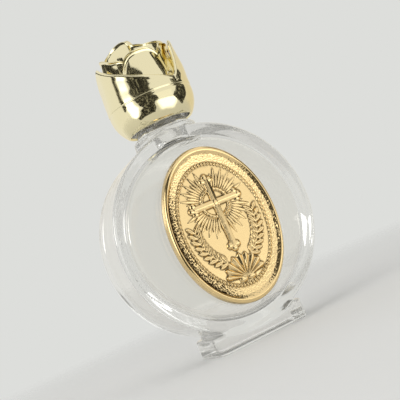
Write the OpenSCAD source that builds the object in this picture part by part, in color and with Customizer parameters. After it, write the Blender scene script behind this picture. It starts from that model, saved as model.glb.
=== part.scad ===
// Holy water keepsake bottle: a flat round glass bottle on a plinth foot, with a rose-shaped screw cap
// and an oval relief plaque on its front face. Millimetres, +Z up, the plaque faces -Y.
// The origin is the middle of the foot's underside.

/* [Glass body] */
// Diameter of the round body
disc_d = 50; // [44:1:64]
// Depth of the round body from its front face to its back face
disc_depth = 18; // [15:0.5:24]
// Width of the bevel round the faces
bevel_w = 2.1; // [1:0.1:3]
// How far the bevel falls back from the faces
bevel_d = 0.9; // [0.5:0.1:1.5]
// Height of the round body's lowest point above the table
disc_clear = 3; // [2:0.1:4]
// Glass thickness of the front and back faces
face_wall = 2.3; // [1.5:0.1:3]
// Glass thickness at the rim
rim_wall = 2.8; // [2:0.1:4]
// Rounding of the hollow's edges
hollow_round = 1.5; // [1:0.1:4]

/* [Foot] */
// Width of the foot, side to side
foot_w = 24.5; // [18:0.5:32]
// Depth of the foot, front to back
foot_depth = 16; // [12:0.5:20]
// Height of the foot's top above the table
foot_h = 4.6; // [4.2:0.1:6]
// Corner radius of the foot, seen from above
foot_corner = 3; // [1:0.5:5]

/* [Neck] */
// Diameter of the plain neck
neck_d = 13; // [12:0.1:14]
// Height of the neck's lip above the round body
neck_h = 9.5; // [9:0.1:11]
// Diameter of the pouring bore
bore_d = 8.4; // [6:0.1:9.5]
// Diameter of the bead at the root of the neck
bead_d = 16; // [15:0.1:17]
// Height of the bead's top above the round body
bead_h = 1.2; // [0.8:0.1:1.6]
// Rounding of the lip and the bead
lip_round = 0.5; // [0.2:0.05:0.6]

/* [Screw thread] */
// Height of the neck's thread ridge
thread_depth = 0.6; // [0.45:0.05:0.8]
// Rise of the thread in one turn
thread_pitch = 3; // [2.8:0.1:3.4]
// Turns of the neck's thread
thread_turns = 1.25; // [0.75:0.25:1.25]
// Width of a thread ridge at its root
thread_root_w = 1.3; // [1:0.05:1.3]
// Width of a thread ridge at its crest
thread_crest_w = 0.6; // [0.4:0.05:0.8]
// Clearance between the neck and the cap's thread
thread_clear = 0.2; // [0.15:0.05:0.3]

/* [Cap insert and liner] */
// Wall of the plastic insert round the thread
insert_wall = 0.65; // [0.55:0.05:0.9]
// Thickness of the insert's roof
insert_roof = 1; // [0.8:0.1:1.4]
// How far the insert sits up inside the rose
insert_recess = 0.5; // [0.3:0.1:1]
// Thickness of the sealing liner
liner_t = 1; // [0.8:0.1:1.4]
// Clearance round the liner
liner_clear = 0.15; // [0.1:0.05:0.3]

/* [Rose cap] */
// Largest diameter of the rose
rose_d = 21.5; // [20.5:0.1:24]
// Height of the rose
rose_h = 23.2; // [22:0.1:28]
// Gap between the round body and the rose's rim
rose_gap = 2.8; // [2:0.1:3]
// Width of the flat rim under the rose
rose_rim_w = 0.4; // [0.3:0.05:0.8]
// Height where the rose is widest
rose_belly_h = 6; // [4:0.1:6.5]
// Height of the moulding line round the rose
rose_line_h = 6.8; // [6.6:0.1:8]
// Step at the moulding line
rose_line_step = 0.12; // [0.05:0.01:0.2]
// How much the rose narrows towards its petal tips
rose_lean = 1.4; // [0.6:0.1:1.6]
// Thickness of a petal's lip
petal_t = 0.8; // [0.6:0.05:1]
// Step where one outer petal overlaps the next
petal_overlap = 0.3; // [0.1:0.05:0.5]
// Height of the hollow above the insert
rose_core_h = 4; // [2:0.5:5]

/* [Plaque] */
// Width of the oval plaque
plaque_w = 27; // [20:0.5:30]
// Height of the oval plaque
plaque_h = 38; // [30:0.5:40]
// How far the plaque's middle sits below the middle of the round body
plaque_drop = 0.6; // [-1:0.1:1]
// Thickness of the plaque at its rim
plaque_t = 2.6; // [2.2:0.1:3]
// Thickness of the plaque's flat field
plaque_field_t = 1.7; // [1:0.1:1.8]
// Width of the polished rim
plaque_rim_w = 1.1; // [0.8:0.1:1.4]
// Width of the coved band inside the rim
plaque_cove_w = 2.6; // [2:0.1:3]
// Height of the relief above the field
relief_h = 0.6; // [0.4:0.1:0.8]
// Width of the cross's arms
cross_arm_w = 1.8; // [1:0.1:2.2]
// Height of the cross
cross_h = 16; // [10:0.5:18]
// Span of the cross
cross_span = 11; // [7:0.5:12]
// Radius of the scallop shell below the cross
shell_r = 5.4; // [3:0.1:6]
// Thickness of the adhesive film
adhesive_t = 0.3; // [0.2:0.05:0.5]
// How far the film stays inside the plaque's outline
adhesive_inset = 1.5; // [1:0.1:3]

/* [Hidden] */
$fn = 96;

// Depth that joined solids reach into each other
weld = 0.3;
disc_r = disc_d / 2;
disc_z = disc_clear + disc_r;
shoulder_z = disc_z + disc_r;
lip_z = shoulder_z + neck_h;
bead_z = shoulder_z + bead_h;
neck_r = neck_d / 2;
thread_r = neck_r + thread_depth;

rose_z = shoulder_z + rose_gap;
insert_bore_r = thread_r + thread_clear;
insert_r = insert_bore_r + insert_wall;
insert_z = rose_z + insert_recess;
insert_ceiling_z = lip_z + liner_t;
insert_top_z = insert_ceiling_z + insert_roof;
// Radius of the female thread's crest
female_crest_r = neck_r + thread_clear;
// Room from the top of the neck's thread to its lip
thread_margin = 0.9;
// Height at which each thread's middle passes the angle 0; the female one bears on the neck's from below
male_z = lip_z - thread_margin - thread_root_w / 2 - thread_pitch * thread_turns;
female_z = male_z - (thread_root_w + thread_crest_w) / 2 - thread_clear;
// Turns after angle 0 where the female thread starts, inside the skirt, and how many it has below the liner
female_first = (insert_z + thread_root_w / 2 + thread_clear - female_z) / thread_pitch;
female_turns = min(thread_turns, (lip_z - insert_z - thread_root_w - 2 * thread_clear) / thread_pitch);
thread_steps = 36;

rose_r = rose_d / 2;
rose_rim_r = insert_r + rose_rim_w;
rose_top_h = insert_top_z - rose_z;
// Plastic left over the insert where the petals part
rose_roof_t = 0.9;
rose_steps = 90;
core_r = insert_r - 2.4;
// Angle at which the rose's lower curve leaves its rim
belly_angle = 45;

// Outer petals, each [angle where it starts, drop of its peak and of its far end below the rose's top]
outer_petals = [[145, 5.7, 14.2], [290, 4.8, 10.2], [412, 5.2, 10.6]];
// Angle over which a petal rises from its neighbour's low end to its own peak
petal_rise = 40;
// Inner petals, each [angle of its middle, drop of its peak below the rose's top]
inner_petals = [[272, 6], [332, 4], [70, 3], [170, 2.7]];
inner_lip_r = 7.4;
inner_half_angle = 46;
// Heart petals, round the bud
heart_petals = [[240, 1.4], [30, 2.2], [150, 1.2]];
heart_lip_r = 4.3;
heart_half_angle = 62;
// How far an inner petal falls from its peak to its sides
petal_fall = 2.6;
// Depth of the furrows behind the petals, from the outer row to the bud
furrow_h = [4, 1.8, 2.4];
bud_r = 1.8;
bud_drop = 0;

plaque_r = plaque_h / 2;
plaque_squeeze = plaque_w / plaque_h;
plaque_back_y = disc_depth / 2 + adhesive_t;

// Eases from 0 to 1 without a corner at either end
function ease(t) = let (u = min(1, max(0, t))) u * u * (3 - 2 * u);

// A disc's half profile, from its axis outwards, with rounded outer corners
module round_profile(r, h, rounding) {
    square([r - rounding, h]);
    translate([0, rounding])
        square([r, h - 2 * rounding]);
    for (y = [rounding, h - rounding])
        translate([r - rounding, y])
            circle(rounding);
}

// Turns a half profile about an axis along Y through the middle of the body
module turn_across(depth) {
    translate([0, depth / 2, disc_z])
        rotate([90, 0, 0])
            rotate_extrude()
                children();
}

module body_disc() {
    turn_across(disc_depth)
        polygon([
            [0, 0], [disc_r - bevel_w, 0], [disc_r, bevel_d], [disc_r, disc_depth - bevel_d],
            [disc_r - bevel_w, disc_depth], [0, disc_depth]
        ]);
}

module body_hollow() {
    hollow_depth = disc_depth - 2 * face_wall;
    turn_across(hollow_depth)
        round_profile(disc_r - rim_wall, hollow_depth, hollow_round);
}

// A trapezoid swept up a right-hand helix: its root and crest radius, its height at angle 0, the turns
// after angle 0 where it starts and the number of turns
module thread_ridge(root_r, crest_r, z0, first, turns) {
    count = round(turns * thread_steps);
    sunk = crest_r > root_r ? -weld : weld;
    ends = [[root_r + sunk, -thread_root_w / 2], [root_r + sunk, thread_root_w / 2],
            [crest_r, thread_crest_w / 2], [crest_r, -thread_crest_w / 2]];
    outline = crest_r > root_r ? ends : [for (i = [3:-1:0]) ends[i]];
    points = [
        for (i = [0:count])
            let (turned = first + i / thread_steps)
            for (p = outline)
                [p[0] * cos(360 * turned), p[0] * sin(360 * turned), z0 + p[1] + thread_pitch * turned]
    ];
    sides = [
        for (i = [0:count - 1])
            for (k = [0:3])
                let (a = 4 * i + k, b = 4 * i + (k + 1) % 4)
                for (f = [[a, a + 4, b + 4], [a, b + 4, b]])
                    f
    ];
    last = 4 * count;
    caps = [[0, 1, 2], [0, 2, 3], [last, last + 2, last + 1], [last, last + 3, last + 2]];
    polyhedron(points, concat(sides, caps));
}

module foot() {
    linear_extrude(foot_h) {
        square([foot_w - 2 * foot_corner, foot_depth], center = true);
        square([foot_w, foot_depth - 2 * foot_corner], center = true);
        for (x = [-1, 1])
            for (y = [-1, 1])
                translate([x * (foot_w / 2 - foot_corner), y * (foot_depth / 2 - foot_corner)])
                    circle(foot_corner);
    }
}

// A turned ring or plug with rounded upper edge, standing on the body's middle
module neck_step(r, top_z) {
    translate([0, 0, disc_z])
        rotate_extrude() {
            square([r, top_z - disc_z - lip_round]);
            square([r - lip_round, top_z - disc_z]);
            translate([r - lip_round, top_z - disc_z - lip_round])
                circle(lip_round);
        }
}

module glass_bottle() {
    color("aliceblue", 0.4)
        difference() {
            union() {
                body_disc();
                foot();
                neck_step(bead_d / 2, bead_z);
                neck_step(neck_r, lip_z);
                thread_ridge(neck_r, thread_r, male_z, 0, thread_turns);
            }
            body_hollow();
            translate([0, 0, disc_z])
                cylinder(d = bore_d, h = lip_z - disc_z + weld);
        }
}

module sealing_liner() {
    color("whitesmoke")
        translate([0, 0, lip_z])
            cylinder(r = insert_bore_r - liner_clear, h = liner_t);
}

module cap_insert() {
    color("white") {
        translate([0, 0, insert_z])
            difference() {
                cylinder(r = insert_r, h = insert_top_z - insert_z);
                translate([0, 0, -weld])
                    cylinder(r = insert_bore_r, h = insert_ceiling_z - insert_z + weld);
            }
        thread_ridge(insert_bore_r, female_crest_r, female_z, female_first, female_turns);
    }
}

// Which outer petal an angle falls on, and how far across it from 0 to 1
function petal_angle(a) = outer_petals[0][0] + ((a - outer_petals[0][0]) % 360 + 360) % 360;
function petal_index(a) = a < outer_petals[1][0] ? 0 : a < outer_petals[2][0] ? 1 : 2;
function petal_end(k) = k < 2 ? outer_petals[k + 1][0] : outer_petals[0][0] + 360;

// Height of the outer petals' lip above the rose's rim
function outer_lip_h(angle) =
    let (a = petal_angle(angle), k = petal_index(a), petal = outer_petals[k])
    let (before = outer_petals[(k + 2) % 3], into = a - petal[0])
    let (fall = (into - petal_rise) / (petal_end(k) - petal[0] - petal_rise))
    let (drop = into < petal_rise
        ? before[2] + (petal[1] - before[2]) * ease(into / petal_rise)
        : petal[2] + (petal[1] - petal[2]) * pow(1 - fall, 1.8))
    rose_h - drop;

// How far an outer petal stands out where it overlaps its neighbour
function outer_step(angle) =
    let (a = petal_angle(angle), k = petal_index(a))
    let (across = (a - outer_petals[k][0]) / (petal_end(k) - outer_petals[k][0]))
    petal_overlap * min(1, across * 12) * (1 - across);

// Height of a row of round-topped petals above the rose's rim
function row_lip_h(row, half_angle, angle) =
    max([for (p = row)
        let (off = ((angle - p[0] + 180) % 360 + 360) % 360 - 180)
        rose_h - p[1] - petal_fall * pow(off / half_angle, 2)]);

// Radius of the rose's wall at a height above its rim
function rose_wall_r(h) =
    rose_r - rose_lean * max(0, h - rose_belly_h) / (rose_h - rose_belly_h);

// The wall of one petal row in an upright cut, bulging from a furrow up to its lip and over it
function petal_wall(from_r, from_h, lip_r, lip_h) =
    [for (t = [12:26:90])
        [lip_r + (from_r - lip_r) * cos(t), from_h + (lip_h - petal_t / 3 - from_h) * sin(t)]];
function petal_lip(lip_r, lip_h) =
    [for (t = [60:60:180])
        [lip_r - petal_t / 2 * (1 - cos(t)), lip_h - petal_t / 3 * (1 - sin(t))]];

// One upright cut through the rose at an angle, [radius, height] from its rim to its middle
function rose_cut(angle) =
    let (lip = outer_lip_h(angle), step = outer_step(angle))
    let (inner = row_lip_h(inner_petals, inner_half_angle, angle))
    let (heart = row_lip_h(heart_petals, heart_half_angle, angle))
    let (lip_r = rose_wall_r(lip) + rose_line_step + step)
    let (floor_h = min(lip - petal_t / 2, max(rose_top_h + rose_roof_t, lip - furrow_h[0])))
    let (floor_r = lip_r - 1.6 * petal_t)
    let (inner_floor_r = inner_lip_r - 1.6 * petal_t, inner_floor = min(inner, heart) - furrow_h[1])
    let (bud_h = rose_h - bud_drop, heart_floor = min(heart, bud_h) - furrow_h[2])
    concat(
        [for (k = [0:5])
            let (t = belly_angle * (1 - k / 5))
            [rose_rim_r + (rose_r - rose_rim_r) * (cos(t) - cos(belly_angle)) / (1 - cos(belly_angle)),
             rose_belly_h * (1 - sin(t) / sin(belly_angle))]],
        [[rose_wall_r(rose_line_h), rose_line_h - rose_line_step],
         [rose_wall_r(rose_line_h) + rose_line_step, rose_line_h]],
        [for (t = [0.3:0.3:0.9])
            let (h = rose_line_h + t * (lip - petal_t - rose_line_h))
            [rose_wall_r(h) + rose_line_step + step * ease(t * 2), h]],
        [for (t = [0:45:180])
            [lip_r - petal_t / 2 * (1 - cos(t)), lip - petal_t / 2 * (1 - sin(t))]],
        [[floor_r, floor_h]],
        petal_wall(floor_r - petal_t / 4, floor_h, inner_lip_r, inner),
        petal_lip(inner_lip_r, inner),
        [[inner_floor_r, inner_floor]],
        petal_wall(inner_floor_r - petal_t / 4, inner_floor, heart_lip_r, heart),
        petal_lip(heart_lip_r, heart),
        [[bud_r + petal_t, heart_floor], [bud_r, heart_floor + petal_t / 4],
         [bud_r - petal_t / 4, bud_h - petal_t / 2], [bud_r - petal_t, bud_h]]
    );

// The rose's outer form: one skin of upright cuts, closed by its flat rim and its middle point
module rose_form() {
    cuts = [for (j = [0:rose_steps - 1]) rose_cut(360 * j / rose_steps)];
    count = len(cuts[0]);
    points = concat(
        [for (j = [0:rose_steps - 1])
            let (a = 360 * j / rose_steps)
            for (p = cuts[j])
                [p[0] * cos(a), p[0] * sin(a), p[1]]],
        [[0, 0, rose_h - bud_drop - petal_t], [0, 0, 0]]
    );
    middle = rose_steps * count;
    skin = [
        for (j = [0:rose_steps - 1])
            let (a = j * count, b = (j + 1) % rose_steps * count)
            for (i = [0:count - 2])
                for (f = [[a + i, a + i + 1, b + i + 1], [a + i, b + i + 1, b + i]])
                    f
    ];
    ends = [
        for (j = [0:rose_steps - 1])
            let (a = j * count, b = (j + 1) % rose_steps * count)
            for (f = [[a + count - 1, middle, b + count - 1], [b, middle + 1, a]])
                f
    ];
    polyhedron(points, concat(skin, ends));
}

module rose_cap() {
    color("khaki")
        translate([0, 0, rose_z])
            difference() {
                rose_form();
                translate([0, 0, -weld])
                    cylinder(r = insert_r, h = rose_top_h + weld);
                translate([0, 0, rose_top_h - weld])
                    cylinder(r = core_r, h = rose_core_h + weld);
            }
}

// The plaque's own frame: X across, Y up, Z out of the glass
module on_front(out) {
    translate([0, -out, disc_z - plaque_drop])
        rotate([90, 0, 0])
            children();
}

// The oval plate with its coved band and rounded rim
module plaque_oval() {
    inside_r = plaque_r - plaque_rim_w;
    shoulder = plaque_t - plaque_rim_w / 2;
    linear_extrude(plaque_field_t)
        scale([plaque_squeeze, 1])
            circle(plaque_r - plaque_rim_w / 2);
    scale([plaque_squeeze, 1, 1])
        rotate_extrude() {
            polygon([
                [inside_r - plaque_cove_w, 0], [plaque_r, 0], [plaque_r, shoulder],
                [inside_r, shoulder], [inside_r - plaque_cove_w, plaque_field_t]
            ]);
            translate([plaque_r - plaque_rim_w / 2, shoulder])
                circle(plaque_rim_w / 2);
        }
}

// A pointed leaf or petal outline along +Y, from two arcs
module leaf_outline(length, width) {
    r = (length * length / 4 + width * width / 4) / width;
    intersection() {
        translate([r - width / 2, length / 2])
            circle(r);
        translate([width / 2 - r, length / 2])
            circle(r);
    }
}

// A cross with a round boss on each arm, in a ring and a glory of rays
module radiant_cross() {
    relief = relief_h + weld;
    boss_r = cross_arm_w * 0.72;
    ring_r = cross_span * 0.3;
    top_y = cross_span / 2;
    translate([-cross_arm_w / 2, top_y - cross_h, 0])
        cube([cross_arm_w, cross_h, relief]);
    translate([-cross_span / 2, -cross_arm_w / 2, 0])
        cube([cross_span, cross_arm_w, relief]);
    for (end = [[-cross_span / 2, 0], [cross_span / 2, 0], [0, top_y], [0, top_y - cross_h]])
        translate(end)
            cylinder(r = boss_r, h = relief);
    difference() {
        cylinder(r = ring_r + cross_arm_w / 4, h = relief * 0.75);
        translate([0, 0, -weld])
            cylinder(r = ring_r - cross_arm_w / 4, h = relief + weld);
    }
    for (side = [0:90:270])
        for (a = [20:12.5:70])
            rotate(side + a)
                translate([0, ring_r, 0])
                    linear_extrude(relief * 0.6)
                        leaf_outline(cross_span * 0.42, cross_arm_w * 0.42);
}

// A scallop shell, its ribs fanning up from the hinge
module scallop() {
    relief = relief_h + weld;
    cylinder(r = shell_r * 0.2, h = relief);
    for (a = [-66:22:66])
        rotate(a)
            linear_extrude(relief * (1 - abs(a) / 220))
                leaf_outline(shell_r, shell_r * 0.34);
}

// A leafy spray that climbs beside the cross, pairs of leaves along an arc
module spray() {
    across = plaque_w * 0.28;
    up = plaque_h * 0.24;
    for (b = [-62:15.5:0]) {
        heading = atan2(up * cos(b), -across * sin(b));
        translate([across * cos(b), up * sin(b), 0])
            for (tilt = [-42, 42])
                rotate(heading - 90 + tilt)
                    linear_extrude((relief_h + weld) * 0.7)
                        leaf_outline(plaque_w * 0.1, plaque_w * 0.04);
    }
}

module medallion() {
    color("goldenrod")
        on_front(plaque_back_y) {
            plaque_oval();
            translate([0, 0, plaque_field_t - weld]) {
                translate([0, plaque_h * 0.14, 0])
                    radiant_cross();
                translate([0, -plaque_h * 0.35, 0])
                    scallop();
                spray();
                mirror([1, 0, 0])
                    spray();
            }
        }
}

module adhesive_pad() {
    color("gainsboro")
        on_front(disc_depth / 2)
            scale([(plaque_w - 2 * adhesive_inset) / (plaque_h - 2 * adhesive_inset), 1, 1])
                cylinder(r = plaque_r - adhesive_inset, h = adhesive_t);
}

glass_bottle();
sealing_liner();
cap_insert();
rose_cap();
medallion();
adhesive_pad();
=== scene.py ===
"""Holy water keepsake bottle: flat round glass with a rose-shaped gold cap and an oval relief plaque.

Every shape is worked out in millimetres in the part's own frame: +Z up, the plaque faces -Y, and the origin
is the middle of the foot's underside.
"""

import math
from types import SimpleNamespace
from typing import NamedTuple

import bpy
import numpy as np
from bpy.props import FloatProperty, FloatVectorProperty, PointerProperty
from mathutils import Matrix, Vector


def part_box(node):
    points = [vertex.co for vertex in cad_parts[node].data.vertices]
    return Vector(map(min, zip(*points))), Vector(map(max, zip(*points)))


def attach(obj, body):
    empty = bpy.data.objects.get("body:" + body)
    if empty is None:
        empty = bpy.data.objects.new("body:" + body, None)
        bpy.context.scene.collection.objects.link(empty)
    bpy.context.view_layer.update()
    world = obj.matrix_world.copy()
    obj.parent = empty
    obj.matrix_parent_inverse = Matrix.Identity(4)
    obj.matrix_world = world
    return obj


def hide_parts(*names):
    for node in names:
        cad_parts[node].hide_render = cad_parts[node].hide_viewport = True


bl_info = {
    "name": "Holy Water Bottle",
    "version": (1, 0, 0),
    "blender": (4, 5, 0),
    "location": "View3D > Sidebar > Bottle",
    "description": "Builds a glass keepsake bottle with a rose cap and an oval relief plaque",
    "category": "Add Mesh",
}

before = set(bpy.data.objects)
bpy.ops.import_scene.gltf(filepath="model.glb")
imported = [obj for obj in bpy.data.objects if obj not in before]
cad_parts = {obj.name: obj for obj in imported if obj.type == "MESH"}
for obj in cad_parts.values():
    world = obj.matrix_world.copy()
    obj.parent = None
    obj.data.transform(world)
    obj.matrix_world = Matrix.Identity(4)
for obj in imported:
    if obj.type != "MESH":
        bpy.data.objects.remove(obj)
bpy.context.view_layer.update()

MM = 0.001


def node_box(node):
    """Lowest and highest corner of a CAD node, in millimetres."""
    low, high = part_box(node)
    return np.array(low) / MM, np.array(high) / MM


GLASS_LOW, GLASS_HIGH = node_box("glass_bottle")
ROSE_LOW, ROSE_HIGH = node_box("rose_cap")
PLAQUE_LOW, PLAQUE_HIGH = node_box("medallion")
LINER_LOW, LINER_HIGH = node_box("sealing_liner")
INSERT_LOW, INSERT_HIGH = node_box("cap_insert")


def linear(code):
    """Linear colour of an sRGB hex value."""
    parts = [int(code[i : i + 2], 16) / 255 for i in (1, 3, 5)]
    return tuple(c / 12.92 if c <= 0.04045 else ((c + 0.055) / 1.055) ** 2.4 for c in parts)


def rgba(value):
    """A colour with full opacity."""
    return (*value[:3], 1.0)


def length(name, description, millimetres):
    """A size that a user may change, kept in metres."""
    return FloatProperty(
        name=name, description=description, default=millimetres * MM, unit="LENGTH", precision=5
    )


def colour(name, description, code):
    """A colour that a user may change."""
    return FloatVectorProperty(
        name=name, description=description, default=linear(code), subtype="COLOR", min=0, max=1
    )


class GlassSizes(bpy.types.PropertyGroup):
    """Sizes of the glass bottle."""

    body_d: length("Body diameter", "Diameter of the round body", GLASS_HIGH[0] - GLASS_LOW[0])
    body_depth: length("Body depth", "Depth of the round body, front to back", GLASS_HIGH[1] - GLASS_LOW[1])
    body_clear: length("Body clearance", "Height of the body's lowest point above the table", 3.0)
    bevel_w: length("Bevel width", "Width of the bevel round the faces", 2.1)
    bevel_d: length("Bevel depth", "How far the bevel falls back from the faces", 0.9)
    face_wall: length("Face wall", "Glass thickness of the front and back faces", 2.3)
    rim_wall: length("Rim wall", "Glass thickness at the rim", 2.8)
    foot_w: length("Foot width", "Width of the plinth foot", 24.5)
    foot_depth: length("Foot depth", "Depth of the plinth foot", 16.0)
    foot_h: length("Foot height", "Height of the plinth foot", 4.6)
    neck_d: length("Neck diameter", "Diameter of the plain neck", 13.0)
    bore_d: length("Bore", "Diameter of the pouring bore", 8.4)
    bead_d: length("Bead diameter", "Diameter of the bead at the neck's root", 16.0)
    bead_h: length("Bead height", "Height of the bead above the body", 1.2)
    tint: colour("Glass tint", "Colour of light through the glass", "#F9F8F5")


class CapSizes(bpy.types.PropertyGroup):
    """Sizes of the rose cap, its insert and its liner."""

    rose_d: length("Rose diameter", "Largest plain diameter of the rose", 21.5)
    rose_lean: length("Rose lean", "How much the rose narrows towards its petal tips", 1.4)
    belly_h: length("Belly height", "Height where the rose is widest", 6.0)
    line_h: length("Line height", "Height of the moulding line round the rose", 6.8)
    petal_t: length("Petal thickness", "Thickness of a petal's lip", 0.8)
    gold: colour("Cap gold", "Colour of the plated cap", "#EFE5BC")
    plastic: colour("Insert plastic", "Colour of the screw insert", "#E9E8E3")
    foam: colour("Liner foam", "Colour of the sealing liner", "#DFDED8")


class PlaqueSizes(bpy.types.PropertyGroup):
    """Sizes of the oval plaque and its relief."""

    width: length("Plaque width", "Width of the oval plaque", PLAQUE_HIGH[0] - PLAQUE_LOW[0])
    height: length("Plaque height", "Height of the oval plaque", 38.0)
    rim_t: length("Rim thickness", "Thickness of the plaque at its rim", 2.6)
    field_t: length("Field thickness", "Thickness of the plaque's flat field", 1.7)
    rim_w: length("Rim width", "Width of the polished rim", 1.1)
    cove_w: length("Cove width", "Width of the stippled band inside the rim", 3.0)
    relief_h: length("Relief height", "Height of the relief above the field", 0.6)
    gold: colour("Plaque gold", "Colour of the plaque's raised gold", "#F5D89F")
    # The patina colour also paints the shade on the stippled band's lower left
    patina_and_shade: colour("Patina", "Colour left in the plaque's recesses", "#2B1D0C")


class StageColours(bpy.types.PropertyGroup):
    """Colours round the object."""

    backdrop: colour("Backdrop", "Colour behind the object", "#DDDEDB")
    floor: colour("Floor", "Colour of the floor", "#DFDFDC")


def in_mm(sizes):
    """The lengths of a property group in millimetres, by name."""
    values = {name: getattr(sizes, name) for name in sizes.__annotations__}
    return SimpleNamespace(**{name: v / MM for name, v in values.items() if isinstance(v, float)})


# Mesh making


def make_piece(name, material, body, slot, stands_for, points, faces, normals=None):
    """Makes a smooth mesh piece from millimetres that rides on a CAD body and stands for a CAD node."""
    mesh = bpy.data.meshes.new(name)
    mesh.from_pydata((np.asarray(points) * MM).tolist(), [], faces)
    mesh.validate()
    mesh.polygons.foreach_set("use_smooth", [True] * len(mesh.polygons))
    if normals is not None:
        mesh.normals_split_custom_set_from_vertices(np.asarray(normals).tolist())
    mesh.materials.append(material)
    piece = bpy.data.objects.new(name, mesh)
    bpy.context.scene.collection.objects.link(piece)
    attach(piece, body)
    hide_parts(stands_for)
    return piece


def about_axis(points):
    """Distance of each point from the Z axis, and its height."""
    x, y, z = np.moveaxis(points, -1, 0)
    return np.hypot(x, y), z


def smooth_max(a, b, blend):
    """The larger of two distances, rounded over where they are about equal."""
    near = np.maximum(blend - np.abs(a - b), 0) / blend
    return np.maximum(a, b) + near * near * blend / 4


def smooth_min(a, b, blend):
    """The smaller of two distances, filleted where they are about equal."""
    return -smooth_max(-a, -b, blend)


def rounded(a, b, radius):
    """Distance from a corner with a radius, given the distances past its two sides."""
    a, b = a + radius, b + radius
    return np.hypot(np.maximum(a, 0), np.maximum(b, 0)) - radius + np.minimum(np.maximum(a, b), 0)


def ease(t):
    """0 to 1 without a corner at either end."""
    t = np.clip(t, 0, 1)
    return t * t * (3 - 2 * t)


def gradient(distance, points, reach=0.02):
    """Direction in which a distance formula grows fastest, by small steps each way."""
    slopes = []
    for axis in np.eye(3) * reach:
        slopes.append((distance(points + axis) - distance(points - axis)) / (2 * reach))
    return np.stack(slopes, -1)


def settle(distance, points, rounds=4, flattest=0.05):
    """Moves points onto the surface where a distance formula is zero; flattest bounds each move."""
    for _ in range(rounds):
        slope = gradient(distance, points)
        steep = np.maximum((slope * slope).sum(-1), flattest)
        points = points - slope * (distance(points) / steep)[:, None]
    return points


def cell_points(value):
    """One point in each grid cell that the surface cuts, counted in cells, and each cell's point or -1."""
    cells = [n - 1 for n in value.shape]
    total = np.zeros([*cells, 3])
    count = np.zeros(cells)
    origin = np.stack(np.meshgrid(*[np.arange(n) for n in cells], indexing="ij"), -1).astype(float)
    for axis in range(3):
        across = [a for a in range(3) if a != axis]
        for u, v in np.ndindex(2, 2):
            start = [0, 0, 0]
            start[across[0]], start[across[1]] = u, v
            end = list(start)
            end[axis] = 1
            a, b = (value[tuple(slice(o, o + n) for o, n in zip(s, cells))] for s in (start, end))
            cut = (a < 0) != (b < 0)
            place = origin + np.array(start)
            place[..., axis] += np.where(cut, a / np.where(cut, a - b, 1), 0)
            total += np.where(cut[..., None], place, 0)
            count += cut
    used = count > 0
    number = np.full(cells, -1)
    number[used] = np.arange(used.sum())
    return total[used] / count[used][:, None], number


def cell_quads(inside, number):
    """Quads between the four cells round each grid edge that the surface cuts."""
    cells = number.shape
    quads = []
    for axis in range(3):
        b, c = (axis + 1) % 3, (axis + 2) % 3
        span = [slice(1, n) for n in cells]
        span[axis] = slice(0, cells[axis])
        after = list(span)
        after[axis] = slice(1, cells[axis] + 1)
        here, there = inside[tuple(span)], inside[tuple(after)]
        corner = []
        for db, dc in ((-1, -1), (0, -1), (0, 0), (-1, 0)):
            move = list(span)
            move[b] = slice(1 + db, cells[b] + db)
            move[c] = slice(1 + dc, cells[c] + dc)
            corner.append(number[tuple(move)])
        ring = np.stack(corner, -1)
        quads += [ring[here & ~there], ring[there & ~here][:, ::-1]]
    return np.concatenate(quads)


def even_out(points, quads):
    """Moves each point half way to the middle of its neighbours."""
    total = np.zeros_like(points)
    count = np.zeros(len(points))
    for k in range(4):
        for other in ((k + 1) % 4, (k + 3) % 4):
            np.add.at(total, quads[:, k], points[quads[:, other]])
            np.add.at(count, quads[:, k], 1)
    return (points + total / np.maximum(count, 1)[:, None]) / 2


def skin(distance, low, high, step):
    """Points, quads and normals of the closed surface where a distance formula is zero."""
    # The grid has two cells of room on every side
    axes = [np.arange(a - 2 * step, b + 3 * step, step) for a, b in zip(low, high)]
    value = distance(np.stack(np.meshgrid(*axes, indexing="ij"), -1))
    points, number = cell_points(value)
    points = np.array([a[0] for a in axes]) + step * points
    quads = cell_quads(value < 0, number)
    for _ in range(3):
        points = settle(distance, even_out(points, quads), 2)
    points = settle(distance, points)
    normals = gradient(distance, points)
    normals /= np.linalg.norm(normals, axis=-1, keepdims=True)
    return points, quads.tolist(), normals


def tube_faces(rows, steps):
    """Quads that join rows of points, each row once round."""
    faces = []
    for row in range(rows - 1):
        for k in range(steps):
            a, b = row * steps + k, row * steps + (k + 1) % steps
            faces.append((a, b, b + steps, a + steps))
    return faces


def turned_skin(rows, steps):
    """Faces of a tube with a fan at each end; the two poles come after the rows."""
    faces = tube_faces(rows, steps)
    last_row, first_pole = (rows - 1) * steps, rows * steps
    for k in range(steps):
        after = (k + 1) % steps
        faces.append((after, k, first_pole))
        faces.append((last_row + k, last_row + after, first_pole + 1))
    return faces


# Finishes

# Sockets of a colour mix: its two colours and its result
MIX_A, MIX_B, MIXED = 6, 7, 2


def add(tree, kind, inputs=None, **settings):
    """Adds a node with its settings; an input is a value or the socket that feeds it."""
    made = tree.nodes.new(kind)
    for name, value in settings.items():
        setattr(made, name, value)
    for key, value in (inputs or {}).items():
        if isinstance(value, bpy.types.NodeSocket):
            tree.links.new(value, made.inputs[key])
        else:
            made.inputs[key].default_value = value
    return made


def new_finish(name, **sockets):
    """A material with one principled shader; returns it with its tree, its shader and object coordinates."""
    material = bpy.data.materials.new(name)
    material.use_nodes = True
    tree = material.node_tree
    shader = tree.nodes["Principled BSDF"]
    for key, value in sockets.items():
        shader.inputs[key.replace("_", " ").title().replace("Ior", "IOR")].default_value = value
    return material, tree, shader, add(tree, "ShaderNodeTexCoord").outputs["Object"]


def feed(node, key, output):
    """Links an output to one of a node's inputs."""
    node.id_data.links.new(output, node.inputs[key])


def per(millimetres):
    """Texture scale whose pattern repeats about once in that many millimetres."""
    return 1 / (millimetres * MM)


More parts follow.
